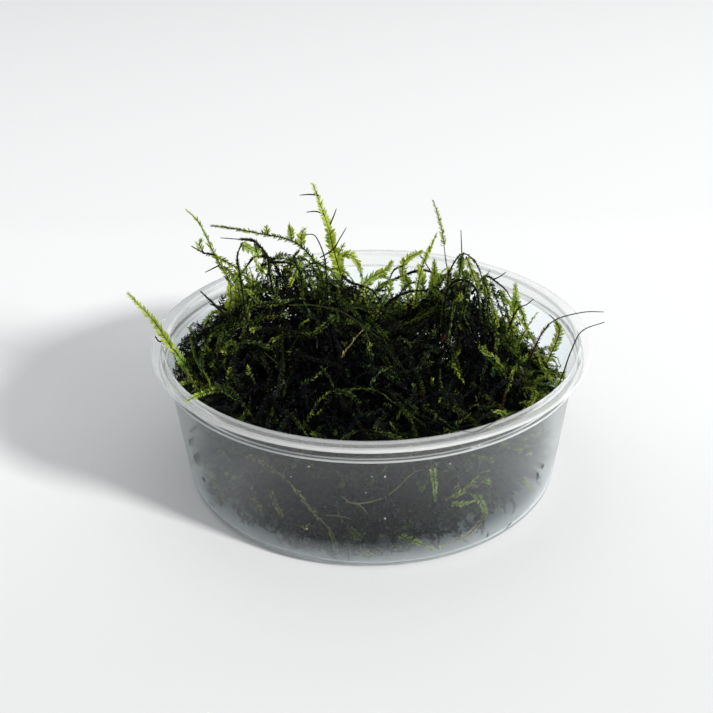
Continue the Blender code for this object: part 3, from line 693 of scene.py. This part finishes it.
def make_tangle(mound, material):
    rng = np.random.default_rng(SEED)
    growers = dict(fill=fill_strands, drape=drape_strands, cross=cross_strands, upright=upright_strands,
                   loop=loop_strands, wall=wall_strands, pressed=pressed_strands)
    grown = {name: growers[name](rng, mound, layer["count"]) for name, layer in LAYERS.items()}
    sector_of = {}
    for name, paths in grown.items():
        middle = paths[:, STRAND_STEPS // 2]
        turn = np.arctan2(middle[:, 1], middle[:, 0]) / (2 * math.pi) + 0.5
        sector_of[name] = (turn * SECTORS).astype(int) % SECTORS
    for number in range(SECTORS):
        greens = Greens(sum((sector == number).sum() for sector in sector_of.values()))
        for name, layer in LAYERS.items():
            paths = grown[name][sector_of[name] == number]
            count = len(paths)
            lengths = np.linalg.norm(np.diff(paths, axis=1), axis=2).sum(1)
            normals = frames(paths, rng.uniform(-4, 4, count))
            share = np.linspace(0, 1, STRAND_STEPS + 1)[None]
            foot, tip = layer["tones"]
            own = rng.normal(0, TONE_SPREAD, (count, 1))
            own = own + DEAD_TONE * (rng.uniform(0, 1, (count, 1)) < DEAD_SHARE)
            # painted light and shade by place, left off the strands pressed to the wall
            here = 0 if name == "pressed" else painted_light_and_shade(mound, paths)
            tone = foot + (tip - foot) * share**1.4 + own + here
            rust = (rng.uniform(0, 1, (count, 1)) < RUSTY_SHARE) * RUSTY
            radius = layer["stem"] * (1 - 0.6 * share) * rng.uniform(0.7, 1.4, (count, 1))
            greens.stems(paths, normals, radius, tone * 0.5 - 0.04, rust[..., None])
            places = leaf_places(rng, lengths, layer["per_mm"], 0.04)
            strand, at, _ = places
            length = layer["leaf"] * rng.uniform(0.7, 1.25, len(strand)) * (1 - 0.35 * at**4)
            leaf_tone = pick(tone, strand, at) + rng.normal(0, 0.07, len(strand))
            greens.leaves(rng, paths, normals, places, length, layer["width"], 50.0, leaf_tone, rust[strand])
            greens.row += count
        piece = greens.write(f"tangle_strands_{number + 1}", material)
        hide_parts("moss_tangle")


# ---------------------------------------------------------------- the shoots
SHOOT_STEPS = 60
TWIG_STEPS = 24


def smooth_route(route, steps):
    """Points on the smooth curve through the route's points."""
    p = np.array(route, float)
    p = np.concatenate([[2 * p[0] - p[1]], p, [2 * p[-1] - p[-2]]])
    share = np.linspace(0, len(route) - 1, steps + 1)
    i = np.minimum(share.astype(int), len(route) - 2)
    t = (share - i)[:, None]
    a, b, c, d = p[i], p[i + 1], p[i + 2], p[i + 3]
    return (2 * b + (c - a) * t + (2 * a - 5 * b + 4 * c - d) * t**2 + (3 * b - a - 3 * c + d) * t**3) / 2


def clothe(greens, rng, path, clothing):
    """One shoot on the path: its stem, and leaves in the styles that clothing gives."""
    paths = path[None]
    length = np.linalg.norm(np.diff(path, axis=0), axis=1).sum()
    normals = frames(paths, rng.uniform(-1.5, 1.5, 1))
    share = np.linspace(0, 1, len(path))
    places = [place for place, _ in clothing] + [1.0]
    styles = [STYLES[name] for _, name in clothing]
    along = {key: np.interp(share, places, [style[key] for style in styles + styles[-1:]])
             for key in ("stem", "tone", "rust")}
    radius = along["stem"] * (1 - 0.5 * share**2)
    greens.stems(paths, normals, radius[None], (along["tone"] * 0.5)[None], along["rust"][None, :, None],
                 sides=5)
    for first, last, style in zip(places, places[1:], styles):
        stretch = leaf_places(rng, np.array([length]), style["per_mm"], first, last)
        at = stretch[1]
        taper = 1 - 0.5 * np.clip((at - 0.55) / 0.45, 0, 1) ** 1.3
        size = style["leaf"] * taper * rng.uniform(0.8, 1.15, len(at))
        tone = style["tone"] + rng.normal(0, 0.15, len(at)) + 0.1 * (at - 0.5)
        angle = style["angle"] * (1 - 0.25 * at)
        greens.leaves(rng, paths, normals, stretch, size, LEAF_WIDTH, angle, tone, style["rust"], FINE_LEAF)
    greens.row += 1


def make_shoots(material):
    rng = np.random.default_rng(SEED + 1)
    for name, route in ROUTES.items():
        twigs = [(style, points) for owner, style, points in TWIGS if owner == name]
        greens = Greens(1 + len(twigs))
        clothe(greens, rng, smooth_route(route, SHOOT_STEPS), CLOTHING[name])
        for style, points in twigs:
            clothe(greens, rng, smooth_route(points, TWIG_STEPS), [(0, style)])
        piece = greens.write(f"{name}_leaves", material, keep_in=False)
        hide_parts(name)


def make_loose_strands(name, strands, material, keep_in=True):
    """Single strands that belong to the tangle, joined in one piece."""
    rng = np.random.default_rng(SEED + 2)
    greens = Greens(len(strands))
    for style, route in strands:
        clothe(greens, rng, smooth_route(route, TWIG_STEPS), [(0, style)])
    piece = greens.write(name, material, keep_in)
    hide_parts("moss_tangle")


def on_wall(degrees, z):
    """The point on the outside of the tub's wall in this direction and at this height."""
    r = tub_inner_radius(z) + WALL + SPECK_LIFT
    return r * math.cos(math.radians(degrees)), r * math.sin(math.radians(degrees)), z


# ---------------------------------------------------------------- materials
# The moss's colours by tone: on the lit face, as light that shines through, and where it is rusty
FACE_COLOURS = [(0.0, (0.0046, 0.0044, 0.0056)), (0.22, (0.01, 0.0115, 0.009)), (0.45, (0.036, 0.055, 0.016)),
                (0.7, (0.14, 0.19, 0.028)), (1.0, (0.42, 0.5, 0.07))]
GLOW_COLOURS = [(0.0, (0.002, 0.002, 0.002)), (0.22, (0.014, 0.022, 0.007)), (0.45, (0.09, 0.16, 0.026)),
                (0.7, (0.38, 0.5, 0.04)), (1.0, (0.78, 0.88, 0.12))]
RUST_COLOURS = [(0.0, (0.006, 0.004, 0.003)), (0.4, (0.07, 0.017, 0.014)), (0.7, (0.2, 0.055, 0.04)),
                (1.0, (0.3, 0.26, 0.17))]
COOL_PATCHES = [(0.5, (1.0, 1.0, 1.0)), (0.7, (0.74, 0.98, 1.3))]
GLOW_SHARE = 0.42
TONE_NOISE = 0.16
# How clear the tub's plastic is, by height in mm: the floor, the ring and the flange's edge are milky; low
# down that is partly painted light, standing in for the lit floor seen through the plastic
EDGE_LOW, EDGE_HIGH = HEIGHT - BEAD_DROP - BEAD, HEIGHT - BEAD_DROP + BEAD
CLARITY = [(0, 0.74), (3, 0.86), (9, 0.993), (SHOULDER_TOP - 1, 0.993), (SHOULDER_TOP - 0.75, 0.58),
           (SHOULDER_TOP - 0.35, 0.58), (SHOULDER_TOP - 0.1, 0.96), (EDGE_LOW - 0.1, 0.94),
           (EDGE_LOW + 0.15, 0.6), (EDGE_HIGH - 0.15, 0.6), (EDGE_HIGH + 0.1, 0.83), (HEIGHT, 0.83)]
WALL_TINT = (0.92, 0.972, 0.986)
FLANGE_TINT = (0.966, 0.979, 0.976)
EDGE_ON_FROM, EDGE_ON_LOSS = 0.38, 0.11  # where it starts to be edge-on, and what that takes from its clarity
HAZE = (0.14, 0.22)  # roughness, from place to place
PLASTIC_IOR = 1.085  # low, because both faces of the thin wall together hardly bend the light


def node_material(name):
    """A material's node maker, and the function that finishes it with a shader."""
    made = bpy.data.materials.new(name)
    made.use_nodes = True
    made.node_tree.nodes.clear()
    out = made.node_tree.nodes.new("ShaderNodeOutputMaterial")

    def add(kind, links=(), **settings):
        """A new node: links are (its input, the socket that feeds it), settings its attributes or inputs."""
        node = made.node_tree.nodes.new(kind)
        for key, value in settings.items():
            if hasattr(node, key):
                setattr(node, key, value)
            else:
                node.inputs[key.replace("_", " ")].default_value = value
        for name_or_number, source in links:
            made.node_tree.links.new(source, node.inputs[name_or_number])
        return node

    def finish(shader):
        made.node_tree.links.new(shader.outputs[0], out.inputs["Surface"])
        return made

    return add, finish


def ramp(add, source, stops):
    """A colour that follows source through stops of (place, colour)."""
    node = add("ShaderNodeValToRGB", [("Fac", source)])
    elements = node.color_ramp.elements
    while len(elements) < len(stops):
        elements.new(0.5)
    for element, (place, colour) in zip(elements, stops):
        element.position = place
        element.color = (*colour, 1.0)
    return node.outputs["Color"]


def grey(value):
    return value, value, value


def moss_material():
    """Leaves and stems: the tone runs from black-brown through deep green to the yellow-green of new tips,
    and rust turns it reddish brown."""
    add, finish = node_material("moss")
    place = add("ShaderNodeTexCoord").outputs["Object"]
    noise = add("ShaderNodeTexNoise", [("Vector", place)], Scale=160.0, Detail=3.0)
    spread = add("ShaderNodeMapRange", [("Value", noise.outputs["Fac"])], To_Min=-TONE_NOISE,
                 To_Max=TONE_NOISE)
    tone = add("ShaderNodeAttribute", attribute_name="tone")
    total = add("ShaderNodeMath", [(0, tone.outputs["Fac"]), (1, spread.outputs[0])], operation="ADD",
                use_clamp=True).outputs[0]
    patches = add("ShaderNodeTexNoise", [("Vector", place)], Scale=110.0, Detail=2.0).outputs["Fac"]
    cool = ramp(add, patches, COOL_PATCHES)
    rusty = add("ShaderNodeAttribute", attribute_name="rust").outputs["Fac"]
    rust = ramp(add, total, RUST_COLOURS)

    def coloured(stops):
        green = add("ShaderNodeMixRGB", [("Color1", ramp(add, total, stops)), ("Color2", cool)],
                    blend_type="MULTIPLY", Fac=1.0).outputs[0]
        return add("ShaderNodeMixRGB", [("Fac", rusty), ("Color1", green), ("Color2", rust)]).outputs[0]

    face = add("ShaderNodeBsdfPrincipled", [("Base Color", coloured(FACE_COLOURS))], Roughness=0.42, IOR=1.38)
    face.inputs["Specular IOR Level"].default_value = 0.14
    glow = add("ShaderNodeBsdfTranslucent", [("Color", coloured(GLOW_COLOURS))])
    return finish(add("ShaderNodeMixShader", [(1, face.outputs[0]), (2, glow.outputs[0])], Fac=GLOW_SHARE))


def tub_material():
    """Clear polypropylene with a moulding haze, milkier in its thick parts and where it is seen edge-on; the
    milkiness low down is partly painted light, standing in for the lit floor seen through it.
    """
    add, finish = node_material("milky_polypropylene")
    place = add("ShaderNodeTexCoord").outputs["Object"]
    height = add("ShaderNodeSeparateXYZ", [("Vector", place)]).outputs["Z"]
    share = add("ShaderNodeMath", [(0, height)], operation="DIVIDE")
    share.inputs[1].default_value = HEIGHT * MM
    clear = ramp(add, share.outputs[0], [(z / HEIGHT, grey(value)) for z, value in CLARITY])
    facing = add("ShaderNodeLayerWeight", Blend=0.5).outputs["Facing"]
    edge_on = add("ShaderNodeMapRange", [("Value", facing)], From_Min=EDGE_ON_FROM, To_Max=EDGE_ON_LOSS)
    clear = add("ShaderNodeMath", [(0, clear), (1, edge_on.outputs[0])], operation="SUBTRACT",
                use_clamp=True).outputs[0]
    tint = ramp(add, share.outputs[0], [(SHOULDER_BOTTOM / HEIGHT, WALL_TINT),
                                        (SHOULDER_TOP / HEIGHT, FLANGE_TINT)])
    noise = add("ShaderNodeTexNoise", [("Vector", place)], Scale=60.0)
    haze = add("ShaderNodeMapRange", [("Value", noise.outputs["Fac"])], To_Min=HAZE[0], To_Max=HAZE[1])
    shader = add("ShaderNodeBsdfPrincipled", [("Base Color", tint), ("Roughness", haze.outputs[0]),
                                              ("Transmission Weight", clear)], IOR=PLASTIC_IOR)
    shader.inputs["Coat Weight"].default_value = 0.2
    shader.inputs["Coat Roughness"].default_value = 0.08
    return finish(shader)


# ---------------------------------------------------------------- the tub
def arc(centre, radius, start, end, steps):
    """Points (r, z) of an arc, with its angles in degrees from +r towards +z."""
    angles = (math.radians(start + (end - start) * i / steps) for i in range(steps + 1))
    return [(centre[0] + radius * math.cos(a), centre[1] + radius * math.sin(a)) for a in angles]


def tub_profile():
    """The outline that is turned: along the inside from the middle of the floor, over the lip and back."""
    corner = WALL_FOOT_Z - FLOOR
    foot_round = corner + WALL
    lip_half = WALL / 2
    neck_r = LIP_R + WALL + NECK_STEP
    bead = (RIM_R - BEAD, HEIGHT - BEAD_DROP)
    across = (0, 20, 40)
    floor = [(r, FLOOR) for r in across] + arc((WALL_FOOT_R - corner, WALL_FOOT_Z), corner, -90, 0, 10)
    inner = [(WALL_TOP_R, SHOULDER_BOTTOM), (LIP_R, SHOULDER_TOP - BEAD)]
    lip = arc((LIP_R + lip_half, HEIGHT - lip_half), lip_half, 180, 60, 8)
    flange = arc(bead, BEAD, 75, -90, 10)
    neck = [(neck_r + lip_half, bead[1] - BEAD), (neck_r, bead[1] - WALL), (neck_r, SHOULDER_TOP)]
    ring = arc((LIP_R + WALL, SHOULDER_TOP - SHOULDER_ROUND), SHOULDER_ROUND, 40, -70, 6)
    outer = [(WALL_TOP_R + WALL, SHOULDER_BOTTOM)]
    foot = arc((WALL_FOOT_R + WALL - foot_round, foot_round), foot_round, 0, -90, 12)
    underside = [(r, 0) for r in reversed(across)]
    return floor + inner + lip + flange + neck + ring + outer + foot + underside


def make_tub(material):
    profile = tub_profile()
    mesh = bpy.data.meshes.new("tub_shell")
    edges = [(i, i + 1) for i in range(len(profile) - 1)]
    mesh.from_pydata([(r * MM, 0, z * MM) for r, z in profile], edges, [])
    tub = add_piece("tub_shell", mesh, material)
    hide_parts("tub")
    turn = tub.modifiers.new("turn", "SCREW")
    turn.steps = turn.render_steps = TUB_TURNS
    turn.use_merge_vertices = True
    turn.merge_threshold = 0.01 * MM
    turn.use_smooth_shade = True


# ---------------------------------------------------------------- water drops, white as painted glints
DROPLETS = [(-18.8, -49.2, 26.6), (-14.4, -51.1, 30.7), (0, -53, 29.1), (3, -52.9, 29), (-1.4, -52.5, 24.3),
            (3, -51.6, 16.1), (18, -49.9, 30.4), (13.4, -51.3, 29.5), (-15.7, -48.7, 11)]
DROPLET_R = 0.22  # before each one's own size
DROPLET_SIDES = 8


def droplet_glint_material():
    add, finish = node_material("droplets_painted_glint")
    place = add("ShaderNodeTexCoord").outputs["Object"]
    noise = add("ShaderNodeTexNoise", [("Vector", place)], Scale=900.0)
    # painted glints: the drops are near-white all through, where clear water would only catch the light
    white = ramp(add, noise.outputs["Fac"], [(0.3, grey(0.8)), (0.7, grey(0.98))])
    return finish(add("ShaderNodeBsdfPrincipled", [("Base Color", white)], Roughness=0.1, IOR=1.33))


def make_droplets(material):
    """Small drops on the inside of the wall, near-white all through as painted glints."""
    rng = np.random.default_rng(SEED + 3)
    bands = DROPLET_SIDES // 2
    vertices, faces = [], []
    for centre in DROPLETS:
        radius = DROPLET_R * rng.uniform(0.7, 1.3)
        first = len(vertices)
        for i in range(bands + 1):
            lift = math.pi * (i / bands - 0.5)
            for j in range(DROPLET_SIDES):
                a = 2 * math.pi * j / DROPLET_SIDES
                out = np.array([math.cos(a) * math.cos(lift), math.sin(a) * math.cos(lift), math.sin(lift)])
                vertices.append((np.array(centre) + radius * out) * MM)
        for i in range(bands):
            for j in range(DROPLET_SIDES):
                a, b = first + i * DROPLET_SIDES + j, first + i * DROPLET_SIDES + (j + 1) % DROPLET_SIDES
                faces.append((a, b, b + DROPLET_SIDES, a + DROPLET_SIDES))
    mesh = bpy.data.meshes.new("droplets")
    mesh.from_pydata(vertices, [], faces)
    mesh.shade_smooth()
    piece = add_piece("droplets", mesh, material)
    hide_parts("tub")


# ---------------------------------------------------------------- stage, light and camera
# Metres from here on
PAPER_HALF = 6.0
PAPER_DROP = 0.00005  # so that it doesn't share a plane with the tub's underside
# painted shade on the paper: its white is darker in front and far behind, lightest just behind the tub
PAPER_WHITES_PAINTED_SHADE = [(-0.2, 0.745), (-0.08, 0.775), (0.02, 0.88), (0.17, 0.905), (0.2, 0.885), (0.8, 0.87)]  # by y
PAPER_BLUE = 1.005
CAMERA_AT = Vector((0.0, -0.2416, 0.16095))
CAMERA_TO = Vector((-0.0039, 0.0, 0.03175))
CAMERA_ROLL = math.radians(-0.96)
FOCAL_LENGTH = 50.5
KEY_AZIMUTH, KEY_ELEVATION = math.radians(-34), math.radians(26.5)
KEY_DISTANCE = 4.0
KEY_SIZE = 0.5
KEY_POWER = 187.0
ROOM_FRONT, ROOM_BACK = 0.48, 0.66  # how bright the room is in front of the tub, and above and behind it
ROOM_BRIGHT_SIDE = (-0.3, 0.6, 0.75)


def make_stage():
    """A flat sheet of white paper with painted shade: darker in front and a little darker far behind,
    lightest just behind the tub.
    """
    mesh = bpy.data.meshes.new("paper")
    corners = [(-PAPER_HALF, -PAPER_HALF), (PAPER_HALF, -PAPER_HALF), (PAPER_HALF, PAPER_HALF),
               (-PAPER_HALF, PAPER_HALF)]
    mesh.from_pydata([(x, y, -PAPER_DROP) for x, y in corners], [], [(0, 1, 2, 3)])
    add, finish = node_material("white_paper")
    place = add("ShaderNodeTexCoord").outputs["Object"]
    depth = add("ShaderNodeSeparateXYZ", [("Vector", place)]).outputs["Y"]
    share = add("ShaderNodeMapRange", [("Value", depth)])
    nearest, farthest = PAPER_WHITES_PAINTED_SHADE[0][0], PAPER_WHITES_PAINTED_SHADE[-1][0]
    share.inputs["From Min"].default_value = nearest
    share.inputs["From Max"].default_value = farthest
    stops = [((y - nearest) / (farthest - nearest), (value, value, value * PAPER_BLUE))
             for y, value in PAPER_WHITES_PAINTED_SHADE]
    white = ramp(add, share.outputs[0], stops)
    mesh.materials.append(finish(add("ShaderNodeBsdfPrincipled", [("Base Color", white)], Roughness=0.8)))
    paper = bpy.data.objects.new("paper", mesh)
    bpy.context.scene.collection.objects.link(paper)


def make_room():
    """Even light from all round, dimmer in front."""
    world = bpy.data.worlds.new("soft_room")
    world.use_nodes = True
    nodes, links = world.node_tree.nodes, world.node_tree.links
    place = nodes.new("ShaderNodeTexCoord")
    facing = nodes.new("ShaderNodeVectorMath")
    facing.operation = "DOT_PRODUCT"
    facing.inputs[1].default_value = ROOM_BRIGHT_SIDE
    links.new(place.outputs["Generated"], facing.inputs[0])
    strength = nodes.new("ShaderNodeMapRange")
    strength.inputs["From Min"].default_value = -0.6
    strength.inputs["From Max"].default_value = 0.9
    strength.inputs["To Min"].default_value = ROOM_FRONT
    strength.inputs["To Max"].default_value = ROOM_BACK
    links.new(facing.outputs["Value"], strength.inputs["Value"])
    background = nodes["Background"]
    background.inputs["Color"].default_value = (0.97, 0.99, 1.0, 1.0)
    links.new(strength.outputs["Result"], background.inputs["Strength"])
    bpy.context.scene.world = world


def make_window():
    """The key light: a window to the right, a little in front."""
    data = bpy.data.lights.new("window", "AREA")
    data.size = KEY_SIZE
    data.energy = KEY_POWER
    data.color = (1.0, 0.995, 0.98)
    window = bpy.data.objects.new("window", data)
    flat = math.cos(KEY_ELEVATION)
    towards = Vector((flat * math.cos(KEY_AZIMUTH), flat * math.sin(KEY_AZIMUTH), math.sin(KEY_ELEVATION)))
    window.location = towards * KEY_DISTANCE
    window.rotation_euler = towards.to_track_quat("Z", "Y").to_euler()
    bpy.context.scene.collection.objects.link(window)


def make_camera():
    """In front of the tub and above it, rolled by a degree."""
    data = bpy.data.cameras.new("camera")
    data.lens = FOCAL_LENGTH
    data.clip_start = 0.01
    camera = bpy.data.objects.new("camera", data)
    aim = (CAMERA_TO - CAMERA_AT).to_track_quat("-Z", "Y").to_matrix().to_4x4()
    camera.matrix_world = Matrix.Translation(CAMERA_AT) @ aim @ Matrix.Rotation(CAMERA_ROLL, 4, "Z")
    bpy.context.scene.collection.objects.link(camera)
    bpy.context.scene.camera = camera


def main():
    make_camera()
    make_stage()
    make_room()
    make_window()
    bpy.context.scene.view_settings.view_transform = "Standard"
    make_tub(tub_material())
    make_droplets(droplet_glint_material())
    moss = moss_material()
    make_tangle(Mound("moss_tangle"), moss)
    make_loose_strands("surface_strands", SURFACE_STRANDS, moss)
    make_loose_strands("wall_strands", WALL_STRANDS, moss)
    specks = [("speck", [on_wall(*end) for end in ends]) for ends in WALL_SPECKS]
    make_loose_strands("wall_specks", specks, moss, keep_in=False)
    make_shoots(moss)


main()
